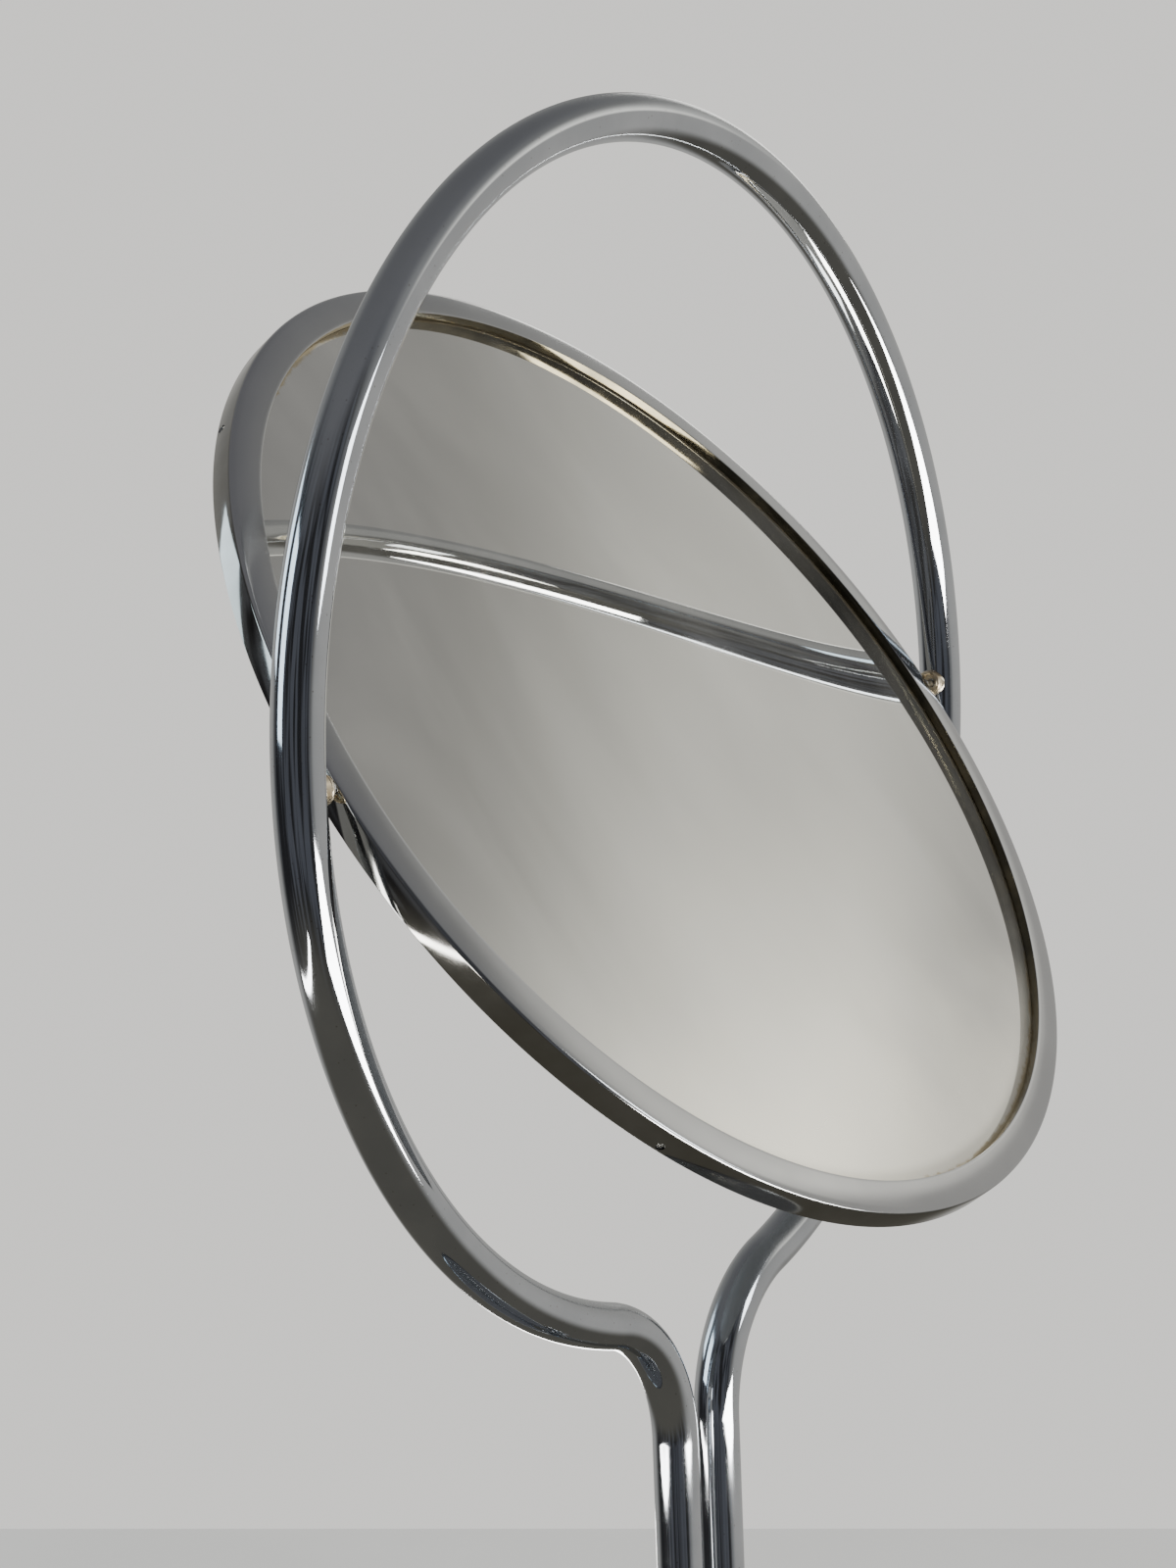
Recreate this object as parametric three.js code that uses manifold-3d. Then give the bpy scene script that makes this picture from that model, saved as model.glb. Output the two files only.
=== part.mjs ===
// Extendable shaving mirror on a weighted table base.
//
// One steel tube is bent into a hoop whose two ends run down side by side as legs. The legs slide in
// two sleeves that stand on a round weighted base, and a thumb screw in the collar wedges them at the
// chosen height. A round mirror in a channel rim tilts inside the hoop on two pins.
//
// Frame: millimetres, +Z up, origin at the middle of the underside of the base. The hoop stands in the
// XZ plane, the tilt axis runs along X, and the mirror faces -Y, leaning back.

import * as THREE from 'three';
import { mergeVertices } from 'three/addons/utils/BufferGeometryUtils.js';
import Module from 'manifold-3d';

const wasm = await Module();
wasm.setup();

const FULL_TURN = Math.PI * 2;
const SIDES = { left: -1, right: 1 };
const RIM_SEGMENTS = 88;
const BASE_SEGMENTS = 64;
const GAP = 0.3; // drawn between two pieces that touch in the real object

// ---- driving dimensions ----

const TUBE_RADIUS = 6.35; // half-inch tube
const TUBE_BORE = 5.15;

const HOOP = {
  radius: 161, // hoop centre to tube centre line
  centreZ: 455,
  bendRadius: 41, // reverse bend between the hoop and each leg
  legX: 11, // half the distance between the two legs
  legEndZ: 74,
  arcSteps: 72,
  bendSteps: 10,
};

const TILT = THREE.MathUtils.degToRad(35.3); // the top of the mirror leans away from the user

const RIM = {
  radius: 149,
  faceWidth: 9,
  bandDepth: 7,
  axisBehindBand: 1.8, // from the band's front edge back to the tilt axis
  faceRise: 1, // the face slopes forward from the band to its inner edge
  bandThickness: 1.6,
  faceThickness: 0.8,
  lipThickness: 1,
  lipDepth: 2.7, // inner wall, measured from the inner edge of the face
  edge: 0.25,
};

const GLASS = { radius: 143.5, thickness: 2.4 };
const PAD = { radius: 143.2, thickness: 0.5 };
const BACK_PLATE = { thickness: 0.9, foldThickness: 1.2, foldDepth: 2.8 };
const SHEET_GAP = 0.2; // between the glass, the pad and the back plate

const RIM_SCREW = { radius: 1, behindEdge: 5.15, length: 3.4, sunk: 0.2, slotWidth: 0.4, slotDepth: 0.5 };
const RIM_SCREW_ANGLES = [45, 135, 225, 315];

const PIVOT_DROP = 1; // the tilt axis lies this far below the hoop's centre
const PIVOT_PIN = {
  radius: 1.2,
  clearance: 0.15,
  innerEnd: 147.5,
  outerEnd: 158,
  shoulderRadius: 1.7,
  shoulderLength: 0.8,
};
const PIVOT_BUSH = { faceX: 152.4, backX: 159, radius: 4, bore: 1.35, recessRadius: 2.8, recessDepth: 2 };

const LEG_PLUG = { stemRadius: 4.8, stemLength: 10, headRadius: 6.1, headLength: 2 };

const FOOT_RING = { inner: 70, outer: 104, height: 3 };
const WEIGHT = { radius: 102, height: 12, hubRadius: 28, hubHeight: 15.7, edge: 1 };
const COVER = {
  radius: 112,
  lipZ: 1.2,
  wallTopZ: 8,
  shoulderRadius: 96,
  shoulderZ: 18,
  topRadius: 30,
  topZ: 20.5,
  thickness: 1.2,
  shoulderSteps: 6,
};

const SLEEVE = { outer: 8, inner: 6.65, bottomZ: 30.3, topZ: 178 };
const BOSS = { bottomZ: 20.8, topZ: 46, cornerRadius: 13.5, floorZ: 30, tapTopZ: 28.5, edge: 1.2 };
const BASE_BOLT = { radius: 2.5, topZ: 28, headRadius: 4.5, headBottomZ: 3.9, headTopZ: 8.1 };
const BASE_WASHER = { outer: 5.6, thickness: 0.6 };
const COUNTERBORE = { radius: 6.2, topZ: 9.3 };

const COLLAR = { bottomZ: 168, topZ: 206, cornerRadius: 13, lipHeight: 3, lipBore: 6.9, edge: 1.2 };
const GUIDE_BUSH = { inner: 6.55, outer: 8, bottomZ: 193, topZ: 202.7 };
const GRUB = { radius: 1.5, socketRadius: 0.8, socketDepth: 1, collarZ: 173, bossZ: 40 };

const CLAMP = {
  centreZ: 185.5,
  pocketHalfWidth: 6.5,
  pocketFrontY: -8,
  pocketBackY: 3,
  pocketHalfHeight: 5.5,
};
const WEDGE = { frontY: -6.6, backY: -0.8, frontHalfWidth: 5.7, backHalfWidth: 4.1, halfHeight: 4.5 };
const STUD = { radius: 3, outerY: -29.7, tipY: -6.9 };
const KNOB = {
  frontY: -34,
  headBackY: -24,
  hubBackY: -13.8,
  radius: 10,
  hubRadius: 6.5,
  ribs: 20,
  ribDepth: 0.7,
};

const BORE_CLEARANCE = SLEEVE.outer + GAP;
const AXIS_Z = HOOP.centreZ - PIVOT_DROP;

// ---- geometry helpers ----

function circlePoints(radius, count) {
  const points = [];
  for (let i = 0; i < count; i += 1) {
    const angle = (i / count) * FULL_TURN;
    points.push(new THREE.Vector2(radius * Math.cos(angle), radius * Math.sin(angle)));
  }
  return points;
}

// Welds shared corners and turns the triangles round when the solid came out inside out.
function closedSolid(source) {
  const bare = source.clone();
  bare.deleteAttribute('normal');
  bare.deleteAttribute('uv');
  const welded = mergeVertices(bare, 1e-4);
  const position = welded.getAttribute('position');
  const index = welded.getIndex().array;
  const kept = [];
  let volume = 0;
  const a = new THREE.Vector3();
  const b = new THREE.Vector3();
  const c = new THREE.Vector3();
  for (let i = 0; i < index.length; i += 3) {
    const [p, q, r] = [index[i], index[i + 1], index[i + 2]];
    if (p === q || q === r || r === p) {
      continue;
    }
    kept.push(p, q, r);
    a.fromBufferAttribute(position, p);
    b.fromBufferAttribute(position, q);
    c.fromBufferAttribute(position, r);
    volume += a.dot(b.cross(c));
  }
  welded.setIndex(volume < 0 ? kept.reverse() : kept);
  return welded;
}

function toManifold(geometry) {
  const solid = closedSolid(geometry);
  return new wasm.Manifold(new wasm.Mesh({
    numProp: 3,
    vertProperties: new Float32Array(solid.getAttribute('position').array),
    triVerts: new Uint32Array(solid.getIndex().array),
  }));
}

function fromManifold(manifold) {
  const mesh = manifold.getMesh();
  const geometry = new THREE.BufferGeometry();
  geometry.setAttribute('position', new THREE.BufferAttribute(new Float32Array(mesh.vertProperties), 3));
  geometry.setIndex(new THREE.BufferAttribute(new Uint32Array(mesh.triVerts), 1));
  return geometry;
}

function cut(geometry, cutters) {
  const body = cutters.reduce((rest, cutter) => rest.subtract(toManifold(cutter)), toManifold(geometry));
  return fromManifold(body);
}

function join(geometry, others) {
  const body = others.reduce((rest, other) => rest.add(toManifold(other)), toManifold(geometry));
  return fromManifold(body);
}

// Profiles are lists of [radius, height]; the turned solid stands on the named axis.
function turned(profile, axis, segments) {
  const points = profile.map(([radius, height]) => new THREE.Vector2(radius, height));
  const geometry = new THREE.LatheGeometry(points, segments);
  if (axis === 'z') {
    geometry.rotateX(Math.PI / 2);
  }
  if (axis === 'x') {
    geometry.rotateZ(-Math.PI / 2);
  }
  return geometry;
}

function closedProfile(corners) {
  return [...corners, corners[0]];
}

function ring(inner, outer, from, to, axis, segments = 32) {
  return turned(closedProfile([[inner, from], [outer, from], [outer, to], [inner, to]]), axis, segments);
}

function rod(radius, from, to, axis, segments = 24) {
  return turned([[0, from], [radius, from], [radius, to], [0, to]], axis, segments);
}

function block(minimum, maximum) {
  const size = maximum.map((value, axis) => value - minimum[axis]);
  const centre = maximum.map((value, axis) => (value + minimum[axis]) / 2);
  return new THREE.BoxGeometry(...size).translate(...centre);
}

// A block with round ends, as wide as both legs together, standing on z.
function twinBlock(cornerRadius, bottomZ, topZ, edge) {
  const reach = cornerRadius - edge;
  const shape = new THREE.Shape();
  shape.absarc(HOOP.legX, 0, reach, -Math.PI / 2, Math.PI / 2, false);
  shape.absarc(-HOOP.legX, 0, reach, Math.PI / 2, Math.PI * 1.5, false);
  shape.closePath();
  const geometry = new THREE.ExtrudeGeometry(shape, {
    depth: topZ - bottomZ - 2 * edge,
    bevelEnabled: true,
    bevelThickness: edge,
    bevelSize: edge,
    bevelSegments: 2,
    curveSegments: 16,
  });
  return geometry.translate(0, 0, bottomZ + edge);
}

function piece(name, geometry, material) {
  const solid = closedSolid(geometry).toNonIndexed();
  solid.computeVertexNormals();
  const mesh = new THREE.Mesh(solid, new THREE.MeshStandardMaterial(material));
  mesh.name = name;
  return mesh;
}

// ---- materials ----

const CHROME = { color: 0xc9ccd0, metalness: 1, roughness: 0.12 };
const SATIN_STEEL = { color: 0xa9a69f, metalness: 1, roughness: 0.4 };
const BRIGHT_STEEL = { color: 0xbfc1c4, metalness: 1, roughness: 0.25 };
const BRASS = { color: 0xb08a45, metalness: 1, roughness: 0.3 };
const SILVERED_GLASS = { color: 0xdfe2e2, metalness: 1, roughness: 0.05 };
const FELT = { color: 0x3c4038, metalness: 0, roughness: 0.95 };
const PAINTED_STEEL = { color: 0x5a5c5e, metalness: 0.2, roughness: 0.6 };
const CAST_IRON = { color: 0x3a3a3c, metalness: 0.6, roughness: 0.7 };
const RUBBER = { color: 0x1f1f20, metalness: 0, roughness: 0.9 };
const NYLON = { color: 0xe4e0d4, metalness: 0, roughness: 0.5 };

// ---- hoop and legs ----

// Follows the tube's centre line from the foot of one leg, round the hoop, to the foot of the other.
class HoopCurve extends THREE.Curve {
  constructor() {
    super();
    const reach = HOOP.radius + HOOP.bendRadius;
    const bendX = HOOP.legX + HOOP.bendRadius;
    this.bendX = bendX;
    this.bendZ = HOOP.centreZ - Math.sqrt(reach * reach - bendX * bendX);
    this.joinAngle = Math.atan2(this.bendZ - HOOP.centreZ, bendX);
    this.steps = 2 + 2 * HOOP.bendSteps + HOOP.arcSteps;
  }

  // Half of the path, counted in steps from the foot of the right leg to the top of the hoop.
  halfPoint(step) {
    if (step <= 1) {
      return [HOOP.legX, THREE.MathUtils.lerp(HOOP.legEndZ, this.bendZ, step)];
    }
    if (step <= 1 + HOOP.bendSteps) {
      const part = (step - 1) / HOOP.bendSteps;
      const angle = THREE.MathUtils.lerp(Math.PI, Math.PI + this.joinAngle, part);
      return [
        this.bendX + HOOP.bendRadius * Math.cos(angle),
        this.bendZ + HOOP.bendRadius * Math.sin(angle),
      ];
    }
    const part = (step - 1 - HOOP.bendSteps) / (HOOP.arcSteps / 2);
    const angle = THREE.MathUtils.lerp(this.joinAngle, Math.PI / 2, part);
    return [HOOP.radius * Math.cos(angle), HOOP.centreZ + HOOP.radius * Math.sin(angle)];
  }

  getPoint(t, target = new THREE.Vector3()) {
    const step = t * this.steps;
    const secondHalf = step > this.steps / 2;
    const [x, z] = this.halfPoint(secondHalf ? this.steps - step : step);
    return target.set(secondHalf ? -x : x, 0, z);
  }

  getPointAt(t, target) {
    return this.getPoint(t, target);
  }

  getTangentAt(t, target) {
    return this.getTangent(t, target);
  }
}

function hoopTube() {
  const curve = new HoopCurve();
  const section = new THREE.Shape(circlePoints(TUBE_RADIUS, 24));
  section.holes.push(new THREE.Path(circlePoints(TUBE_BORE, 16)));
  const tube = new THREE.ExtrudeGeometry(section, { steps: curve.steps, extrudePath: curve });
  const holeRadius = PIVOT_BUSH.radius + GAP;
  const innerWall = HOOP.radius - TUBE_RADIUS;
  const holes = Object.values(SIDES).map((side) => {
    const hole = rod(holeRadius, innerWall - 1, HOOP.radius, 'x');
    return hole.rotateZ(side < 0 ? Math.PI : 0).translate(0, 0, AXIS_Z);
  });
  return piece('hoop_tube', cut(tube, holes), CHROME);
}

function legPlug(sideName) {
  const top = HOOP.legEndZ - GAP;
  const plug = turned([
    [0, top - LEG_PLUG.headLength],
    [LEG_PLUG.headRadius, top - LEG_PLUG.headLength],
    [LEG_PLUG.headRadius, top],
    [LEG_PLUG.stemRadius, top],
    [LEG_PLUG.stemRadius, top + LEG_PLUG.stemLength],
    [0, top + LEG_PLUG.stemLength],
  ], 'z', 24);
  plug.translate(SIDES[sideName] * HOOP.legX, 0, 0);
  return piece(`leg_plug_${sideName}`, plug, NYLON);
}

function pivotBush(sideName) {
  const { faceX, backX, radius, bore, recessRadius, recessDepth } = PIVOT_BUSH;
  const bush = turned(closedProfile([
    [bore, faceX + recessDepth],
    [recessRadius, faceX + recessDepth],
    [recessRadius, faceX],
    [radius, faceX],
    [radius, backX],
    [bore, backX],
  ]), 'x', 24);
  bush.rotateZ(SIDES[sideName] < 0 ? Math.PI : 0).translate(0, 0, AXIS_Z);
  return piece(`pivot_bush_${sideName}`, bush, BRASS);
}

// ---- mirror: built upright about the tilt axis, front towards -Y, then leaned back ----

const BAND_FRONT = -RIM.axisBehindBand;
const BAND_BACK = BAND_FRONT + RIM.bandDepth;
const CREST = BAND_FRONT - RIM.faceRise;
const GLASS_FRONT = CREST + RIM.lipDepth + GAP;
const PAD_FRONT = GLASS_FRONT + GLASS.thickness + SHEET_GAP;
const PLATE_FRONT = PAD_FRONT + PAD.thickness + SHEET_GAP;
const PLATE_RADIUS = RIM.radius - RIM.bandThickness - GAP;

function radialRod(radius, from, to, angleDegrees, y) {
  const spoke = rod(radius, from, to, 'x', 16);
  return spoke.rotateY(-THREE.MathUtils.degToRad(angleDegrees)).translate(0, y, 0);
}

function rimScrewHoles() {
  const y = BAND_FRONT + RIM_SCREW.behindEdge;
  return RIM_SCREW_ANGLES.map((angle) => {
    return radialRod(RIM_SCREW.radius + GAP, PLATE_RADIUS - 2, RIM.radius + 1, angle, y);
  });
}

function pivotHoles() {
  const holeRadius = PIVOT_PIN.radius + PIVOT_PIN.clearance;
  return [0, 180].map((angle) => {
    return radialRod(holeRadius, RIM.radius - RIM.bandThickness - 1, RIM.radius + 1, angle, 0);
  });
}

function rimRing() {
  const inner = RIM.radius - RIM.faceWidth;
  const bandInner = RIM.radius - RIM.bandThickness;
  const lipOuter = inner + RIM.lipThickness;
  const faceFront = (radius) => BAND_FRONT - (RIM.faceRise * (RIM.radius - radius)) / RIM.faceWidth;
  const profile = closedProfile([
    [inner, CREST + RIM.edge],
    [inner + RIM.edge, CREST],
    [RIM.radius - RIM.edge, faceFront(RIM.radius - RIM.edge)],
    [RIM.radius, BAND_FRONT + RIM.edge],
    [RIM.radius, BAND_BACK],
    [bandInner, BAND_BACK],
    [bandInner, faceFront(bandInner) + RIM.faceThickness],
    [lipOuter, faceFront(lipOuter) + RIM.faceThickness],
    [lipOuter, CREST + RIM.lipDepth],
    [inner, CREST + RIM.lipDepth],
  ]);
  const band = turned(profile, 'y', RIM_SEGMENTS);
  return piece('rim_ring', cut(band, [...rimScrewHoles(), ...pivotHoles()]), SATIN_STEEL);
}

function mirrorGlass() {
  const disc = rod(GLASS.radius, GLASS_FRONT, GLASS_FRONT + GLASS.thickness, 'y', RIM_SEGMENTS);
  return piece('mirror_glass', disc, SILVERED_GLASS);
}

function backingPad() {
  const disc = rod(PAD.radius, PAD_FRONT, PAD_FRONT + PAD.thickness, 'y', RIM_SEGMENTS);
  return piece('backing_pad', disc, FELT);
}

function backPlate() {
  const back = PLATE_FRONT + BACK_PLATE.thickness;
  const foldInner = PLATE_RADIUS - BACK_PLATE.foldThickness;
  const pan = turned([
    [0, PLATE_FRONT],
    [foldInner, PLATE_FRONT],
    [foldInner, back - BACK_PLATE.foldDepth],
    [PLATE_RADIUS, back - BACK_PLATE.foldDepth],
    [PLATE_RADIUS, back],
    [0, back],
  ], 'y', RIM_SEGMENTS);
  return piece('back_plate', cut(pan, rimScrewHoles()), PAINTED_STEEL);
}

function rimScrew(angle, number) {
  const y = BAND_FRONT + RIM_SCREW.behindEdge;
  const head = RIM.radius - RIM_SCREW.sunk;
  const shank = rod(RIM_SCREW.radius, head - RIM_SCREW.length, head, 'x', 16);
  const halfSlot = RIM_SCREW.slotWidth / 2;
  const slot = block(
    [head - RIM_SCREW.slotDepth, -halfSlot, -RIM_SCREW.radius - 1],
    [head + 1, halfSlot, RIM_SCREW.radius + 1],
  );
  const screw = cut(shank, [slot]);
  screw.rotateY(-THREE.MathUtils.degToRad(angle)).translate(0, y, 0);
  return piece(`rim_screw_${number}`, screw, BRIGHT_STEEL);
}

function pivotPin(sideName) {
  const shoulder = RIM.radius + GAP;
  const pin = turned([
    [0, PIVOT_PIN.innerEnd],
    [PIVOT_PIN.radius, PIVOT_PIN.innerEnd],
    [PIVOT_PIN.radius, shoulder],
    [PIVOT_PIN.shoulderRadius, shoulder],
    [PIVOT_PIN.shoulderRadius, shoulder + PIVOT_PIN.shoulderLength],
    [PIVOT_PIN.radius, shoulder + PIVOT_PIN.shoulderLength],
    [PIVOT_PIN.radius, PIVOT_PIN.outerEnd],
    [0, PIVOT_PIN.outerEnd],
  ], 'x', 20);
  pin.rotateZ(SIDES[sideName] < 0 ? Math.PI : 0);
  return piece(`pivot_pin_${sideName}`, pin, BRIGHT_STEEL);
}

function mirrorGroup() {
  const group = new THREE.Group();
  group.name = 'mirror';
  group.add(rimRing(), mirrorGlass(), backingPad(), backPlate());
  RIM_SCREW_ANGLES.forEach((angle, i) => group.add(rimScrew(angle, i + 1)));
  for (const sideName of Object.keys(SIDES)) {
    group.add(pivotPin(sideName));
  }
  group.rotation.x = -TILT;
  group.position.z = AXIS_Z;
  return group;
}

// ---- base ----

function legBores(radius, from, to) {
  return Object.values(SIDES).map((side) => {
    return rod(radius, from, to, 'z', 32).translate(side * HOOP.legX, 0, 0);
  });
}

// Holes from the back face (+Y) through to each sleeve, for its grub screw.
function grubHoles(z, backY) {
  return Object.values(SIDES).map((side) => {
    return rod(GRUB.radius + GAP, SLEEVE.outer - 1, backY + 1, 'y', 16).translate(side * HOOP.legX, 0, z);
  });
}

function grubScrew(name, sideName, z, backY) {
  const outer = backY - GAP;
  const screw = turned([
    [0, SLEEVE.outer + GAP],
    [GRUB.radius, SLEEVE.outer + GAP],
    [GRUB.radius, outer],
    [GRUB.socketRadius, outer],
    [GRUB.socketRadius, outer - GRUB.socketDepth],
    [0, outer - GRUB.socketDepth],
  ], 'y', 16);
  screw.translate(SIDES[sideName] * HOOP.legX, 0, z);
  return piece(`${name}_${sideName}`, screw, BRIGHT_STEEL);
}

function footRing() {
  const foot = ring(FOOT_RING.inner, FOOT_RING.outer, 0, FOOT_RING.height, 'z', BASE_SEGMENTS);
  return piece('foot_ring', foot, RUBBER);
}

function baseWeight() {
  const bottom = FOOT_RING.height + GAP;
  const disc = turned([
    [0, bottom],
    [WEIGHT.radius - WEIGHT.edge, bottom],
    [WEIGHT.radius, bottom + WEIGHT.edge],
    [WEIGHT.radius, bottom + WEIGHT.height - WEIGHT.edge],
    [WEIGHT.radius - WEIGHT.edge, bottom + WEIGHT.height],
    [WEIGHT.hubRadius, bottom + WEIGHT.height],
    [WEIGHT.hubRadius, bottom + WEIGHT.hubHeight],
    [0, bottom + WEIGHT.hubHeight],
  ], 'z', BASE_SEGMENTS);
  const holes = [
    ...legBores(BASE_BOLT.radius + GAP, 0, BOSS.topZ),
    ...legBores(COUNTERBORE.radius, 0, COUNTERBORE.topZ),
  ];
  return piece('base_weight', cut(disc, holes), CAST_IRON);
}

function coverCurve(inset) {
  const points = [];
  const width = COVER.radius - COVER.shoulderRadius - inset;
  const height = COVER.shoulderZ - COVER.wallTopZ - inset;
  for (let i = 0; i <= COVER.shoulderSteps; i += 1) {
    const angle = ((i / COVER.shoulderSteps) * Math.PI) / 2;
    points.push([
      COVER.shoulderRadius + width * Math.cos(angle),
      COVER.wallTopZ + height * Math.sin(angle),
    ]);
  }
  points.push([COVER.topRadius, COVER.topZ - inset], [0, COVER.topZ - inset]);
  return points;
}

function baseCover() {
  const shell = turned([
    ...coverCurve(COVER.thickness).reverse(),
    [COVER.radius - COVER.thickness, COVER.lipZ],
    [COVER.radius, COVER.lipZ],
    ...coverCurve(0),
  ], 'z', BASE_SEGMENTS);
  const holes = legBores(BASE_BOLT.radius + GAP, 0, BOSS.topZ);
  return piece('base_cover', cut(shell, holes), CHROME);
}

function baseBoss() {
  const body = twinBlock(BOSS.cornerRadius, BOSS.bottomZ, BOSS.topZ, BOSS.edge);
  const holes = [
    ...legBores(BORE_CLEARANCE, BOSS.floorZ, BOSS.topZ + 1),
    ...legBores(BASE_BOLT.radius + GAP, 0, BOSS.tapTopZ),
    ...grubHoles(GRUB.bossZ, BOSS.cornerRadius),
  ];
  return piece('base_boss', cut(body, holes), CHROME);
}

function baseBolt(sideName) {
  const bolt = turned([
    [0, BASE_BOLT.headBottomZ],
    [BASE_BOLT.headRadius, BASE_BOLT.headBottomZ],
    [BASE_BOLT.headRadius, BASE_BOLT.headTopZ],
    [BASE_BOLT.radius, BASE_BOLT.headTopZ],
    [BASE_BOLT.radius, BASE_BOLT.topZ],
    [0, BASE_BOLT.topZ],
  ], 'z', 24);
  bolt.translate(SIDES[sideName] * HOOP.legX, 0, 0);
  return piece(`base_bolt_${sideName}`, bolt, BRIGHT_STEEL);
}

function baseWasher(sideName) {
  const top = COUNTERBORE.topZ - GAP;
  const washer = ring(BASE_BOLT.radius + GAP, BASE_WASHER.outer, top - BASE_WASHER.thickness, top, 'z', 24);
  washer.translate(SIDES[sideName] * HOOP.legX, 0, 0);
  return piece(`base_washer_${sideName}`, washer, BRIGHT_STEEL);
}

// ---- sleeves, collar and clamp ----

function sleeve(sideName) {
  const tube = ring(SLEEVE.inner, SLEEVE.outer, SLEEVE.bottomZ, SLEEVE.topZ, 'z');
  tube.translate(SIDES[sideName] * HOOP.legX, 0, 0);
  return piece(`sleeve_${sideName}`, tube, CHROME);
}

function collar() {
  const body = twinBlock(COLLAR.cornerRadius, COLLAR.bottomZ, COLLAR.topZ, COLLAR.edge);
  const pocket = block(
    [-CLAMP.pocketHalfWidth, CLAMP.pocketFrontY, CLAMP.centreZ - CLAMP.pocketHalfHeight],
    [CLAMP.pocketHalfWidth, CLAMP.pocketBackY, CLAMP.centreZ + CLAMP.pocketHalfHeight],
  );
  const screwHole = rod(STUD.radius + GAP, -COLLAR.cornerRadius - 1, CLAMP.pocketFrontY + 1, 'y');
  const holes = [
    ...legBores(BORE_CLEARANCE, COLLAR.bottomZ - 1, COLLAR.topZ - COLLAR.lipHeight),
    ...legBores(COLLAR.lipBore, COLLAR.bottomZ, COLLAR.topZ + 1),
    ...grubHoles(GRUB.collarZ, COLLAR.cornerRadius),
    pocket,
    screwHole.translate(0, 0, CLAMP.centreZ),
  ];
  return piece('collar', cut(body, holes), CHROME);
}

function guideBush(sideName) {
  const bush = ring(GUIDE_BUSH.inner, GUIDE_BUSH.outer, GUIDE_BUSH.bottomZ, GUIDE_BUSH.topZ, 'z');
  bush.translate(SIDES[sideName] * HOOP.legX, 0, 0);
  return piece(`guide_bush_${sideName}`, bush, BRASS);
}

function clampWedge() {
  const shape = new THREE.Shape([
    new THREE.Vector2(-WEDGE.frontHalfWidth, WEDGE.frontY),
    new THREE.Vector2(WEDGE.frontHalfWidth, WEDGE.frontY),
    new THREE.Vector2(WEDGE.backHalfWidth, WEDGE.backY),
    new THREE.Vector2(-WEDGE.backHalfWidth, WEDGE.backY),
  ]);
  const prism = new THREE.ExtrudeGeometry(shape, { depth: 2 * WEDGE.halfHeight, bevelEnabled: false });
  return piece('clamp_wedge', prism.translate(0, 0, CLAMP.centreZ - WEDGE.halfHeight), BRASS);
}

function clampStud() {
  const stud = rod(STUD.radius, STUD.outerY, STUD.tipY, 'y').translate(0, 0, CLAMP.centreZ);
  return piece('clamp_stud', stud, BRIGHT_STEEL);
}

function clampKnob() {
  const outline = [];
  const steps = KNOB.ribs * 4;
  for (let i = 0; i < steps; i += 1) {
    const angle = (i / steps) * FULL_TURN;
    const radius = KNOB.radius - (KNOB.ribDepth * (1 - Math.cos(angle * KNOB.ribs))) / 2;
    outline.push(new THREE.Vector2(radius * Math.cos(angle), radius * Math.sin(angle)));
  }
  const bevel = 1;
  const head = new THREE.ExtrudeGeometry(new THREE.Shape(outline), {
    depth: KNOB.headBackY - KNOB.frontY - 2 * bevel,
    bevelEnabled: true,
    bevelThickness: bevel,
    bevelSize: bevel,
    bevelOffset: -bevel,
    bevelSegments: 1,
  });
  head.rotateX(-Math.PI / 2).translate(0, KNOB.frontY + bevel, 0);
  const hub = rod(KNOB.hubRadius, KNOB.headBackY - 1, KNOB.hubBackY, 'y');
  const bore = rod(STUD.radius + GAP, STUD.outerY - GAP, KNOB.hubBackY + 1, 'y');
  const knob = cut(join(head, [hub]), [bore]);
  return piece('clamp_knob', knob.translate(0, 0, CLAMP.centreZ), CHROME);
}

// ---- assembly ----

function standGroup() {
  const group = new THREE.Group();
  group.name = 'stand';
  group.add(footRing(), baseWeight(), baseCover(), baseBoss(), collar(), clampWedge());
  for (const sideName of Object.keys(SIDES)) {
    group.add(baseBolt(sideName), baseWasher(sideName), sleeve(sideName), guideBush(sideName));
    group.add(grubScrew('boss_grub', sideName, GRUB.bossZ, BOSS.cornerRadius));
    group.add(grubScrew('collar_grub', sideName, GRUB.collarZ, COLLAR.cornerRadius));
  }
  return group;
}

function hoopGroup() {
  const group = new THREE.Group();
  group.name = 'hoop';
  group.add(hoopTube());
  for (const sideName of Object.keys(SIDES)) {
    group.add(legPlug(sideName), pivotBush(sideName));
  }
  return group;
}

function clampGroup() {
  const group = new THREE.Group();
  group.name = 'clamp';
  group.add(clampStud(), clampKnob());
  return group;
}

const shavingMirror = new THREE.Group();
shavingMirror.name = 'shaving_mirror';
shavingMirror.add(standGroup(), hoopGroup(), mirrorGroup(), clampGroup());

export default shavingMirror;
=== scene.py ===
"""Visual model of an extendable shaving mirror: a tilting round mirror in a bent chrome tube hoop.

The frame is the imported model's: +Z up, the origin under the middle of the base, the tilt axis along X
and the mirror facing -Y. Shapes are written in millimetres, and MM turns them into Blender's metres.
"""
import math

import bmesh
import bpy
from mathutils import Matrix, Vector


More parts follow.
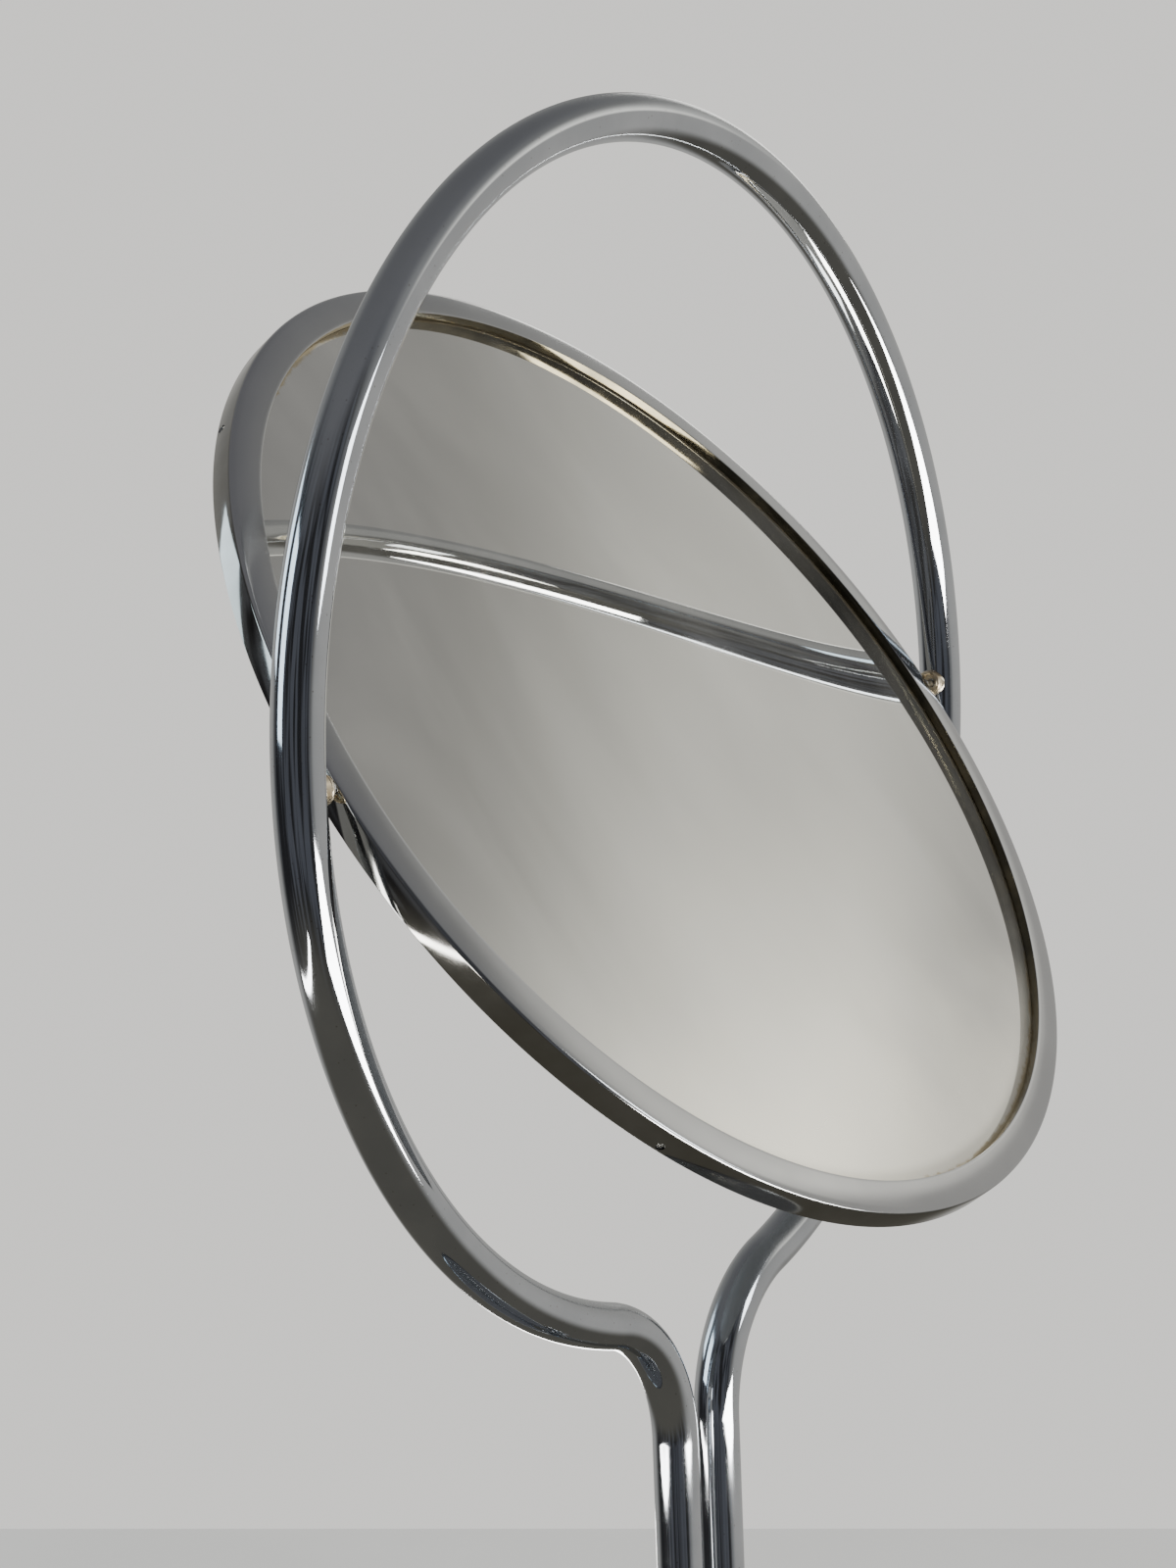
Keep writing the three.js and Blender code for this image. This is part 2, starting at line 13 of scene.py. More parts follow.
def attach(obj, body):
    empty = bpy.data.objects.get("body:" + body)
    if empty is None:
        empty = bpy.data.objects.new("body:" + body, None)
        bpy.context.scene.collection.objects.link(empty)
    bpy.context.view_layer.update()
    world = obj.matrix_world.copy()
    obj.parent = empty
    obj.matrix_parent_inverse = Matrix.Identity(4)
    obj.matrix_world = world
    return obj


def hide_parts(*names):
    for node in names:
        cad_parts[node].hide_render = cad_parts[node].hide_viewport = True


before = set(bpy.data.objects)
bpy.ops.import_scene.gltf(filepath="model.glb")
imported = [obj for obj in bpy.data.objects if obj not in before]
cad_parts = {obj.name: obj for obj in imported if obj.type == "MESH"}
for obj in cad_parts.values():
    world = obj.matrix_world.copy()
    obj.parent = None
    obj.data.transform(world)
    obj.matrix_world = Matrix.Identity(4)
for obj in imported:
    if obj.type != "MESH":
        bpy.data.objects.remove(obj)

MM = 0.001
SIDES = {"left": -1.0, "right": 1.0}

# ---- driving dimensions, in millimetres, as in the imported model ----

HOOP_RADIUS = 161.0
HOOP_Z = 455.0
TUBE_RADIUS = 6.35
BEND_RADIUS = 41.0
LEG_X = 11.0
LEG_END_Z = 74.0

AXIS_Z = 454.0
TILT = math.radians(35.3)

RIM_RADIUS = 149.0
RIM_FACE = 9.0
RIM_WALL = 1.6
BAND_FRONT = -1.8
BAND_BACK = 5.2
BAND_CORNER = 1.1
CREST = -2.8
CROWN = 0.25
LIP_DEPTH = 2.7
LIP_WALL = 1.0
LIP_RADIUS = RIM_RADIUS - RIM_FACE
GLASS_FRONT = CREST + LIP_DEPTH + 0.3
PLATE_FRONT = GLASS_FRONT + 3.3

SCREW_ANGLES = (45, 135, 225, 315)
SCREW_Y = BAND_FRONT + 5.15
SCREW_RADIUS = 1.0
SCREW_HOLE = 1.2
SCREW_LENGTH = 3.4
SCREW_SINK = 0.25

GLASS_RADIUS = 143.5
GLASS_THICKNESS = 2.4

PLATE_THICKNESS = 0.9
PLATE_FOLD = 1.9
PLATE_BEAD_RADIUS = 118.0

PIN_RADIUS = 1.2
PIN_HEAD = 1.7
PIN_END = 158.0
BUSH_FACE = 152.4
BUSH_BACK = 159.0
BUSH_RADIUS = 4.0
BUSH_BORE = 1.35
BUSH_CUP = 2.8
BUSH_CUP_DEPTH = 2.0

PLUG_RADIUS = 6.1
PLUG_SPIGOT = 4.8
PLUG_GAP = 0.3

SLEEVE_RADIUS = 8.0
SLEEVE_BORE = 6.65
SLEEVE_FOOT = 30.3
SLEEVE_TOP = 178.0
GUIDE_BORE = 6.55
GUIDE_FOOT = 193.0
GUIDE_TOP = 202.7

COVER_RADIUS = 112.0
COVER_EDGE = 16.0
COVER_SHOULDER_Z = 8.0
COVER_SHOULDER_RISE = 10.0
COVER_TOP = 20.5
COVER_SHEET = 1.2

FOOT_INNER = 70.0
FOOT_OUTER = 104.0
FOOT_HEIGHT = 3.0

CLAMP_Z = 185.5
KNOB_END = -34.0
KNOB_RADIUS = 10.0
KNOB_HUB = 6.5
KNOB_BORE = 3.3
KNOB_RIBS = 20

BLOCK_EDGE = 0.35

# ---- mesh density ----

TUBE_SIDES = 48
LEG_STEPS = 24
BEND_STEPS = 40
ARC_STEPS = 160
RIM_SEGMENTS = 288
CROWN_STEPS = 9
DISC_SEGMENTS = 256
KNOB_STEPS = KNOB_RIBS * 8
BEVEL_ANGLE = math.radians(35)
SHARP_ANGLE = math.radians(32)

# ---- mesh helpers ----


def rounded(profile, radius, steps=3, closed=False):
    """The profile with each marked corner rounded: corners are (r, h) or (r, h, own_radius)."""
    points = []
    count = len(profile)
    for i, corner in enumerate(profile):
        here = Vector(corner[:2])
        size = corner[2] if len(corner) > 2 else radius
        if size == 0 or (not closed and i in (0, count - 1)):
            points.append(here)
            continue
        before = Vector(profile[i - 1][:2]) - here
        after = Vector(profile[(i + 1) % count][:2]) - here
        reach = min(size, before.length * 0.45, after.length * 0.45)
        start = here + before.normalized() * reach
        end = here + after.normalized() * reach
        for step in range(steps + 1):
            t = step / steps
            points.append(start * (1 - t) ** 2 + here * 2 * t * (1 - t) + end * t ** 2)
    return points


AXIS_TURN = {
    "z": Matrix.Identity(4),
    "y": Matrix.Rotation(math.radians(-90), 4, "X"),
    "x": Matrix.Rotation(math.radians(90), 4, "Y"),
}


def bridge(bm, pairs, count):
    """Faces between paired rings of count corners; a ring of one corner is a point on the axis."""
    for low, high in pairs:
        for i in range(count):
            j = (i + 1) % count
            corners = [low[i % len(low)], low[j % len(low)], high[j % len(high)], high[i % len(high)]]
            face = list(dict.fromkeys(corners))
            if len(face) > 2:
                bm.faces.new(face)


def turned(profile, axis="z", segments=64, closed=False):
    """A bmesh turned from (radius, height) points in millimetres, standing on the named axis."""
    bm = bmesh.new()
    rings = []
    for point in profile:
        if point[0] < 1e-6:
            rings.append([bm.verts.new((0, 0, point[1] * MM))])
            continue
        ring = []
        for i in range(segments):
            angle = 2 * math.pi * i / segments
            x = point[0] * MM * math.cos(angle)
            y = point[0] * MM * math.sin(angle)
            ring.append(bm.verts.new((x, y, point[1] * MM)))
        rings.append(ring)
    pairs = list(zip(rings, rings[1:]))
    if closed:
        pairs.append((rings[-1], rings[0]))
    bridge(bm, pairs, segments)
    bmesh.ops.transform(bm, matrix=AXIS_TURN[axis], verts=bm.verts)
    bmesh.ops.recalc_face_normals(bm, faces=bm.faces)
    return bm


def swept(points, tangents, radius, sides):
    """A round tube along points in the XZ plane, in millimetres, with capped ends."""
    bm = bmesh.new()
    across = Vector((0, 1, 0))
    rings = []
    for point, tangent in zip(points, tangents):
        outward = across.cross(tangent)
        ring = []
        for i in range(sides):
            angle = 2 * math.pi * i / sides
            offset = across * math.cos(angle) + outward * math.sin(angle)
            ring.append(bm.verts.new((point + offset * radius) * MM))
        rings.append(ring)
    bridge(bm, zip(rings, rings[1:]), sides)
    bm.faces.new(rings[0])
    bm.faces.new(rings[-1])
    bmesh.ops.recalc_face_normals(bm, faces=bm.faces)
    return bm


def boxed(minimum, maximum):
    """A block between two opposite corners in millimetres."""
    bm = bmesh.new()
    low, high = Vector(minimum), Vector(maximum)
    bmesh.ops.create_cube(bm, size=1.0)
    size = Matrix.Diagonal((*((high - low) * MM), 1.0))
    bmesh.ops.transform(bm, matrix=Matrix.Translation((low + high) / 2 * MM) @ size, verts=bm.verts)
    return bm


def cut(bm, cutters):
    """bm with the cutters taken away from it, as a new bmesh."""
    body = plain_object("cut_body", bm)
    for cutter in cutters:
        tool = plain_object("cut_tool", cutter)
        modifier = body.modifiers.new("cut", "BOOLEAN")
        modifier.operation = "DIFFERENCE"
        modifier.solver = "EXACT"
        modifier.object = tool
        apply_modifiers(body)
        bpy.data.objects.remove(tool)
    result = bmesh.new()
    result.from_mesh(body.data)
    bpy.data.objects.remove(body)
    return result


def plain_object(name, bm):
    """An object in the scene with bm as its mesh; bm is used up."""
    mesh = bpy.data.meshes.new(name)
    bm.to_mesh(mesh)
    bm.free()
    obj = bpy.data.objects.new(name, mesh)
    bpy.context.scene.collection.objects.link(obj)
    return obj


def apply_modifiers(obj):
    """Replaces obj's mesh by what its modifiers make of it."""
    bpy.context.view_layer.update()
    evaluated = obj.evaluated_get(bpy.context.evaluated_depsgraph_get())
    baked = bpy.data.meshes.new_from_object(evaluated)
    obj.modifiers.clear()
    obj.data = baked


def bevelled(obj, width, segments=2):
    """Rounds the sharp edges of obj by width in millimetres."""
    modifier = obj.modifiers.new("edges", "BEVEL")
    modifier.width = width * MM
    modifier.segments = segments
    modifier.limit_method = "ANGLE"
    modifier.angle_limit = BEVEL_ANGLE
    modifier.use_clamp_overlap = True
    apply_modifiers(obj)
    return obj


def finished(name, bm, material, body, nodes, place=None, bevel=0.0):
    """Turns bm into a piece of the object: shaded, painted, riding on body and standing for nodes."""
    if place is not None:
        bmesh.ops.transform(bm, matrix=place, verts=bm.verts)
    obj = plain_object(name, bm)
    if bevel:
        bevelled(obj, bevel)
    obj.data.materials.clear()
    obj.data.materials.append(material)
    for polygon in obj.data.polygons:
        polygon.use_smooth = True
    obj.data.set_sharp_from_angle(angle=SHARP_ANGLE)
    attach(obj, body)
    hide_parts(*nodes)
    return obj


# ---- material helpers ----


class Graph:
    """Short calls that materials and the room share."""

    def __init__(self, tree):
        self.tree = tree

    def link(self, source, target):
        self.tree.links.new(source, target)

    def span(self, value, low, high, to_low=0.0, to_high=1.0):
        """Eases value from the range low..high to the range to_low..to_high."""
        node = self.tree.nodes.new("ShaderNodeMapRange")
        node.interpolation_type = "SMOOTHSTEP"
        node.inputs["From Min"].default_value = low
        node.inputs["From Max"].default_value = high
        node.inputs["To Min"].default_value = to_low
        node.inputs["To Max"].default_value = to_high
        self.link(value, node.inputs["Value"])
        return node.outputs["Result"]

    def mix(self, factor, first, second):
        """The first colour where factor is 0, the second where it is 1."""
        node = self.tree.nodes.new("ShaderNodeMix")
        node.data_type = "RGBA"
        self.link(factor, node.inputs["Factor"])
        for socket, value in ((node.inputs[6], first), (node.inputs[7], second)):
            if isinstance(value, tuple):
                socket.default_value = (*value, 1.0)
            else:
                self.link(value, socket)
        return node.outputs[2]


class Nodes(Graph):
    """Short calls for building one node material."""

    def __init__(self, name, base, metallic, roughness):
        self.material = bpy.data.materials.new(name)
        self.material.use_nodes = True
        super().__init__(self.material.node_tree)
        self.shader = self.tree.nodes["Principled BSDF"]
        self.shader.inputs["Base Color"].default_value = (*base, 1.0)
        self.shader.inputs["Metallic"].default_value = metallic
        self.shader.inputs["Roughness"].default_value = roughness
        self.position = self.tree.nodes.new("ShaderNodeTexCoord").outputs["Object"]

    def stretched(self, scale):
        """The position multiplied by scale, so that a noise on it is drawn out."""
        mapping = self.tree.nodes.new("ShaderNodeMapping")
        mapping.inputs["Scale"].default_value = scale
        self.link(self.position, mapping.inputs["Vector"])
        return mapping.outputs["Vector"]

    def noise(self, scale, detail=4.0, rough=0.55, vector=None, distortion=0.0):
        """Soft noise from 0 to 1, with scale features to the metre."""
        node = self.tree.nodes.new("ShaderNodeTexNoise")
        node.inputs["Scale"].default_value = scale
        node.inputs["Detail"].default_value = detail
        node.inputs["Roughness"].default_value = rough
        node.inputs["Distortion"].default_value = distortion
        self.link(vector or self.position, node.inputs["Vector"])
        return node.outputs["Fac"]

    def cells(self, scale):
        """The distance to the nearest of scattered points, scale of them to the metre."""
        node = self.tree.nodes.new("ShaderNodeTexVoronoi")
        node.inputs["Scale"].default_value = scale
        self.link(self.position, node.inputs["Vector"])
        return node.outputs["Distance"]

    def math(self, operation, a, b):
        """One arithmetic step on two values, each a number or a node's output."""
        node = self.tree.nodes.new("ShaderNodeMath")
        node.operation = operation
        for socket, value in zip(node.inputs, (a, b)):
            if isinstance(value, (int, float)):
                socket.default_value = value
            else:
                self.link(value, socket)
        return node.outputs["Value"]

    def upward(self):
        """How far the surface faces up, from -1 to 1."""
        geometry = self.tree.nodes.new("ShaderNodeNewGeometry")
        split = self.tree.nodes.new("ShaderNodeSeparateXYZ")
        self.link(geometry.outputs["Normal"], split.inputs["Vector"])
        return split.outputs["Z"]

    def height(self):
        """The point's height above the base's underside, in metres."""
        split = self.tree.nodes.new("ShaderNodeSeparateXYZ")
        self.link(self.position, split.inputs["Vector"])
        return split.outputs["Z"]

    def radius(self, middle):
        """The point's distance from middle, in metres."""
        node = self.tree.nodes.new("ShaderNodeVectorMath")
        node.operation = "DISTANCE"
        node.inputs[1].default_value = middle
        self.link(self.position, node.inputs[0])
        return node.outputs["Value"]

    def colour(self, source):
        self.link(source, self.shader.inputs["Base Color"])

    def roughness(self, source):
        self.link(source, self.shader.inputs["Roughness"])

    def metallic(self, source):
        self.link(source, self.shader.inputs["Metallic"])

    def bump(self, height, strength, distance):
        """Fine unevenness of the surface; distance is in metres."""
        node = self.tree.nodes.new("ShaderNodeBump")
        node.inputs["Strength"].default_value = strength
        node.inputs["Distance"].default_value = distance
        self.link(height, node.inputs["Height"])
        self.link(node.outputs["Normal"], self.shader.inputs["Normal"])


# ---- materials ----


def chrome_plate():
    """Old polished chrome: darker where it faces up, with painted shade in the colour and a dust haze
    in the roughness there, faint pits and shallow polishing waves.
    """
    m = Nodes("aged_chrome", (0.58, 0.6, 0.63), 1.0, 0.08)
    pits = m.span(m.cells(420.0), 0.04, 0.12)
    cloud = m.noise(38.0, 5.0)
    tone = m.mix(m.span(cloud, 0.35, 0.7), (0.55, 0.57, 0.6), (0.63, 0.65, 0.68))
    # painted shade: the colour turns darker where the surface faces up; the same mask adds a dust haze
    # to the roughness
    dust_and_top_shade = m.span(m.upward(), 0.15, 0.8)
    clean = m.mix(pits, (0.38, 0.37, 0.36), tone)
    m.colour(m.mix(dust_and_top_shade, clean, (0.43, 0.445, 0.46)))
    haze = m.math("MULTIPLY", dust_and_top_shade, m.span(m.noise(9.0), 0.3, 0.6, 0.15, 0.2))
    worn = m.span(m.noise(70.0, 4.0), 0.35, 0.75, 0.035, 0.075)
    m.roughness(m.math("ADD", haze, worn))
    m.bump(m.noise(16.0, 1.0), 0.008, 0.0004)
    return m.material


def satin_plate():
    """The rim's face: dulled plate with a few rubbed patches."""
    m = Nodes("satin_plate", (0.53, 0.535, 0.545), 1.0, 0.14)
    rubbed = m.span(m.noise(14.0, 4.0), 0.42, 0.7)
    m.colour(m.mix(rubbed, (0.5, 0.505, 0.515), (0.57, 0.575, 0.58)))
    grain = m.span(m.noise(45.0, 3.0), 0.3, 0.7, 0.12, 0.17)
    m.roughness(m.math("SUBTRACT", grain, m.math("MULTIPLY", rubbed, 0.03)))
    m.bump(m.noise(18.0, 2.0), 0.02, 0.0003)
    return m.material


def band_plate():
    """The rim's outer band: the same plate, shinier, in darker olive colours that are painted shade and
    painted reflection of a dark room.
    """
    m = Nodes("band_plate", (0.42, 0.415, 0.395), 1.0, 0.08)
    stain_and_shade = m.noise(20.0, 5.0, 0.6)
    # painted shade and painted reflection: darker olive colours than the face, mottled at random
    m.colour(m.mix(m.span(stain_and_shade, 0.35, 0.7), (0.35, 0.34, 0.31), (0.49, 0.485, 0.465)))
    m.roughness(m.span(m.noise(90.0, 4.0), 0.3, 0.75, 0.05, 0.11))
    m.bump(stain_and_shade, 0.02, 0.0001)
    return m.material


def lip_plate():
    """The rim's inner wall: very dark brown and gold, painted shade of the recess and painted
    reflection of the mirror and the dark room beside it.
    """
    m = Nodes("lip_plate", (0.4, 0.35, 0.24), 1.0, 0.16)
    stain_and_shade = m.noise(34.0, 5.0, 0.6)
    # painted shade and painted reflection: very dark browns, mottled at random
    m.colour(m.mix(m.span(stain_and_shade, 0.35, 0.65), (0.075, 0.07, 0.052), (0.2, 0.175, 0.115)))
    m.roughness(m.span(m.noise(120.0, 4.0), 0.3, 0.75, 0.08, 0.16))
    m.bump(stain_and_shade, 0.03, 0.0001)
    return m.material


def bright_steel():
    """Bare turned steel for pins, screws and bolts, a little unevenly worn."""
    m = Nodes("bright_steel", (0.66, 0.66, 0.65), 1.0, 0.2)
    wear = m.noise(420.0, 3.0)
    m.colour(m.mix(m.span(wear, 0.35, 0.7), (0.5, 0.5, 0.49), (0.76, 0.76, 0.75)))
    m.roughness(m.span(m.noise(240.0), 0.3, 0.7, 0.14, 0.34))
    m.bump(wear, 0.05, 0.0001)
    return m.material


def brass():
    """Pale brass with brown tarnish."""
    m = Nodes("tarnished_brass", (0.7, 0.56, 0.36), 1.0, 0.2)
    tarnish = m.noise(260.0, 5.0)
    m.colour(m.mix(m.span(tarnish, 0.35, 0.65), (0.62, 0.49, 0.31), (0.84, 0.74, 0.56)))
    m.roughness(m.span(m.noise(190.0), 0.3, 0.7, 0.22, 0.38))
    m.bump(tarnish, 0.06, 0.0001)
    return m.material


def silvered_glass():
    """An old mirror: soft smears, a painted pale warm glow low down and silvering lost round the edge.
    """
    m = Nodes("hazy_mirror", (0.8, 0.79, 0.77), 0.96, 0.04)
    smear = m.noise(9.0, 5.0, 0.55, m.stretched((1.8, 1.0, 0.55)), 0.5)
    clean = m.mix(m.span(smear, 0.32, 0.7), (0.79, 0.78, 0.735), (0.85, 0.84, 0.79))
    drift = m.math("MULTIPLY", m.math("SUBTRACT", m.noise(14.0, 5.0), 0.5), 0.05)
    # painted light: a pale warm glow painted on the lower part of the mirror
    low = m.span(m.math("ADD", m.height(), drift), 0.4, 0.345)
    with_painted_glow = m.mix(low, clean, (0.93, 0.9, 0.8))
    ragged = m.math("MULTIPLY", m.math("SUBTRACT", m.noise(260.0, 6.0, 0.7), 0.5), 0.004)
    wander = m.math("MULTIPLY", m.math("SUBTRACT", m.noise(12.0), 0.5), 0.004)
    edge = m.math("ADD", m.radius((0.0, 0.0, AXIS_Z * MM)), m.math("ADD", ragged, wander))
    lost = m.span(edge, (LIP_RADIUS - 1.4) * MM, (LIP_RADIUS - 0.4) * MM)
    m.colour(m.mix(lost, with_painted_glow, (0.62, 0.54, 0.38)))
    cloud = m.math("ADD", m.span(smear, 0.4, 0.75, 0.015, 0.045), m.math("MULTIPLY", low, 0.04))
    m.roughness(m.math("ADD", cloud, m.math("MULTIPLY", lost, 0.05)))
    # less metal low down lets the painted glow show; a little less metal at the lost silvering too
    dull = m.math("ADD", m.math("MULTIPLY", low, 0.3), m.math("MULTIPLY", lost, 0.05))
    m.metallic(m.math("SUBTRACT", m.span(smear, 0.35, 0.75, 0.98, 0.93), dull))
    return m.material


def felt():
    """Dark grey felt with a fibrous surface."""
    m = Nodes("grey_felt", (0.1, 0.11, 0.1), 0.0, 0.95)
    fibre = m.noise(900.0, 6.0, 0.7)
    m.colour(m.mix(fibre, (0.06, 0.065, 0.06), (0.15, 0.16, 0.145)))
    m.bump(fibre, 0.5, 0.0003)
    return m.material


def enamel():
    """Dull grey paint, slightly orange-peeled."""
    m = Nodes("grey_enamel", (0.14, 0.145, 0.15), 0.0, 0.4)
    speckle = m.noise(420.0, 5.0)
    worn = m.noise(18.0, 6.0, 0.65)
    m.colour(m.mix(m.span(worn, 0.4, 0.7), (0.135, 0.14, 0.145), (0.16, 0.162, 0.162)))
    m.roughness(m.span(worn, 0.3, 0.75, 0.4, 0.48))
    m.bump(speckle, 0.12, 0.0002)
    return m.material


def cast_iron():
    """Rough casting with traces of rust."""
    m = Nodes("cast_iron", (0.07, 0.07, 0.072), 0.7, 0.65)
    grain = m.noise(340.0, 6.0, 0.7)
    rust = m.span(m.noise(30.0, 5.0), 0.55, 0.75)
    m.colour(m.mix(rust, (0.06, 0.06, 0.062), (0.12, 0.07, 0.045)))
    m.roughness(m.span(grain, 0.3, 0.7, 0.5, 0.8))
    m.bump(grain, 0.5, 0.0005)
    return m.material


def rubber():
    """Black rubber with some dust."""
    m = Nodes("black_rubber", (0.018, 0.018, 0.019), 0.0, 0.8)
    dust = m.noise(60.0, 5.0)
    m.colour(m.mix(m.span(dust, 0.5, 0.8), (0.014, 0.014, 0.015), (0.05, 0.049, 0.046)))
    m.roughness(m.span(dust, 0.3, 0.7, 0.7, 0.92))
    m.bump(m.noise(700.0), 0.2, 0.0002)
    return m.material


def nylon():
    """Undyed nylon, slightly translucent."""
    m = Nodes("natural_nylon", (0.72, 0.69, 0.6), 0.0, 0.5)
    m.shader.inputs["Subsurface Weight"].default_value = 0.1
    m.colour(m.mix(m.span(m.noise(150.0), 0.3, 0.7), (0.64, 0.6, 0.5), (0.77, 0.74, 0.66)))
    m.roughness(m.span(m.noise(300.0), 0.3, 0.7, 0.42, 0.6))
    return m.material


MATERIALS = {
    "chrome": chrome_plate(),
    "satin_steel": satin_plate(),
    "bright_steel": bright_steel(),
    "brass": brass(),
    "mirror": silvered_glass(),
    "felt": felt(),
    "painted_steel": enamel(),
    "cast_iron": cast_iron(),
    "rubber": rubber(),
    "nylon": nylon(),
}


def made(name, bm, slot, body, nodes=None, place=None, bevel=0.0):
    """A finished piece named after the CAD node that it stands for."""
    return finished(f"{name}_look", bm, MATERIALS[slot], body, nodes or [name], place, bevel)


def at(x=0.0, y=0.0, z=0.0):
    """A move in millimetres."""
    return Matrix.Translation(Vector((x, y, z)) * MM)


def facing(side):
    """Turns a piece made for +X round to the side that it belongs on."""
    return Matrix.Identity(4) if side > 0 else Matrix.Rotation(math.pi, 4, "Z")


# ---- hoop ----


def hoop_path():
    """Points and tangents of the tube's centre line, from the right leg's foot to the left one's."""
    bend_x = LEG_X + BEND_RADIUS
    reach = HOOP_RADIUS + BEND_RADIUS
    bend_z = HOOP_Z - math.sqrt(reach ** 2 - bend_x ** 2)
    join = math.atan2(bend_z - HOOP_Z, bend_x)
    half = []
    for i in range(LEG_STEPS):
        half.append((LEG_X, LEG_END_Z + (bend_z - LEG_END_Z) * i / LEG_STEPS, math.pi / 2))
    for i in range(BEND_STEPS):
        angle = math.pi + join * i / BEND_STEPS
        x = bend_x + BEND_RADIUS * math.cos(angle)
        z = bend_z + BEND_RADIUS * math.sin(angle)
        half.append((x, z, angle - math.pi / 2))
    for i in range(ARC_STEPS):
        angle = join + (math.pi / 2 - join) * i / ARC_STEPS
        x = HOOP_RADIUS * math.cos(angle)
        z = HOOP_Z + HOOP_RADIUS * math.sin(angle)
        half.append((x, z, angle + math.pi / 2))
    top = [(0.0, HOOP_Z + HOOP_RADIUS, math.pi)]
    mirrored = [(-x, z, -heading) for x, z, heading in reversed(half)]
    points, tangents = [], []
    for x, z, heading in half + top + mirrored:
        points.append(Vector((x, 0, z)))
        tangents.append(Vector((math.cos(heading), 0, math.sin(heading))))
    return points, tangents


def hoop():
    """One tube: both legs, the two bends and the hoop."""
    points, tangents = hoop_path()
    tube = swept(points, tangents, TUBE_RADIUS, TUBE_SIDES)
    return made("hoop_tube", tube, "chrome", "hoop")


def pivot_bush(name, side):
    """A brass cup with a rounded mouth and a turned groove, let into the tube's inner wall."""
    floor_x = BUSH_FACE + BUSH_CUP_DEPTH
    profile = [
        (BUSH_BORE, floor_x, 0.1),
        (BUSH_CUP, floor_x, 0.3),
        (BUSH_CUP, BUSH_FACE + 0.2, 0.3),
        (BUSH_CUP + 0.4, BUSH_FACE, 0.2),
        (BUSH_RADIUS - 0.3, BUSH_FACE, 0.4),
        (BUSH_RADIUS, BUSH_FACE + 0.5, 0.2),
        (BUSH_RADIUS, BUSH_FACE + 1.0, 0.1),
        (BUSH_RADIUS - 0.2, BUSH_FACE + 1.2, 0.1),
        (BUSH_RADIUS, BUSH_FACE + 1.4, 0.1),
        (BUSH_RADIUS, BUSH_BACK),
        (BUSH_BORE, BUSH_BACK),
    ]
    bush = turned(rounded(profile, 0.1, closed=True), "x", 64, closed=True)
    return made(f"pivot_bush_{name}", bush, "brass", "hoop", place=at(z=AXIS_Z) @ facing(side))


def leg_plug(name, side):
    """A nylon plug: a round flange under the leg's end and a spigot inside it."""
    top = LEG_END_Z - PLUG_GAP
    profile = [
        (0, top - 2),
        (PLUG_RADIUS, top - 2, 0.6),
        (PLUG_RADIUS, top, 0.3),
        (PLUG_SPIGOT, top),
        (PLUG_SPIGOT, top + 9, 0.8),
        (0, top + 9),
    ]
    plug = turned(rounded(profile, 0.2), "z", 40)
    return made(f"leg_plug_{name}", plug, "nylon", "hoop", place=at(x=side * LEG_X))


# ---- mirror ----

LEANING = at(z=AXIS_Z) @ Matrix.Rotation(-TILT, 4, "X")


def spoke(angle):
    """Turns a piece made along +X to an angle round the mirror, in degrees."""
    return Matrix.Rotation(-math.radians(angle), 4, "Y")


def rim():
    """The channel rim: a slightly crowned sloping face, a flat band outside and a short wall inside."""
    profile = [(LIP_RADIUS, CREST, 0.25)]
    for i in range(1, CROWN_STEPS - 1):
        part = i / CROWN_STEPS
        slope = CREST + (BAND_FRONT - CREST) * part
        profile.append((LIP_RADIUS + RIM_FACE * part, slope - CROWN * math.sin(math.pi * part), 0))
    profile += [
        (RIM_RADIUS, BAND_FRONT, BAND_CORNER),
        (RIM_RADIUS, BAND_BACK, 0.3),
        (RIM_RADIUS - RIM_WALL, BAND_BACK, 0.3),
        (RIM_RADIUS - RIM_WALL, BAND_FRONT + 0.7),
        (LIP_RADIUS + LIP_WALL, CREST + 0.95),
        (LIP_RADIUS + LIP_WALL, CREST + LIP_DEPTH, 0.2),
        (LIP_RADIUS, CREST + LIP_DEPTH, 0.2),
    ]
    ring = turned(rounded(profile, 0.1, closed=True), "y", RIM_SEGMENTS, closed=True)
    end = RIM_RADIUS + 3
    holes = []
    for angle in SCREW_ANGLES:
        profile = [(0, LIP_RADIUS), (SCREW_HOLE, LIP_RADIUS), (SCREW_HOLE, end), (0, end)]
        hole = turned(profile, "x", 20)
        bmesh.ops.transform(hole, matrix=at(y=SCREW_Y) @ spoke(angle), verts=hole.verts)
        holes.append(hole)
    obj = made("rim_ring", cut(ring, holes), "satin_steel", "mirror", place=LEANING)
    paint_rim_sides(obj)
    return obj


def paint_rim_sides(obj):
    """Gives the rim's outer band and its lip their own darker plates of painted shade and painted
    reflection; only the face keeps the first.
    """
    band_slot, lip_slot = 1, 2
    obj.data.materials.append(band_plate())
    obj.data.materials.append(lip_plate())
    upright = LEANING.inverted()
    for polygon in obj.data.polygons:
        if abs((upright.to_3x3() @ polygon.normal).y) < 0.6:
            place = upright @ polygon.center
            inside = math.hypot(place.x, place.z) < (LIP_RADIUS + 2 * LIP_WALL) * MM
            polygon.material_index = lip_slot if inside else band_slot


def glass():
    """The round glass, with ground edges."""
    front = GLASS_FRONT
    back = GLASS_FRONT + GLASS_THICKNESS
    profile = [(0, front), (GLASS_RADIUS, front, 0.6), (GLASS_RADIUS, back, 0.6), (0, back)]
    disc = turned(rounded(profile, 0.4), "y", DISC_SEGMENTS)
    return made("mirror_glass", disc, "mirror", "mirror", place=LEANING)


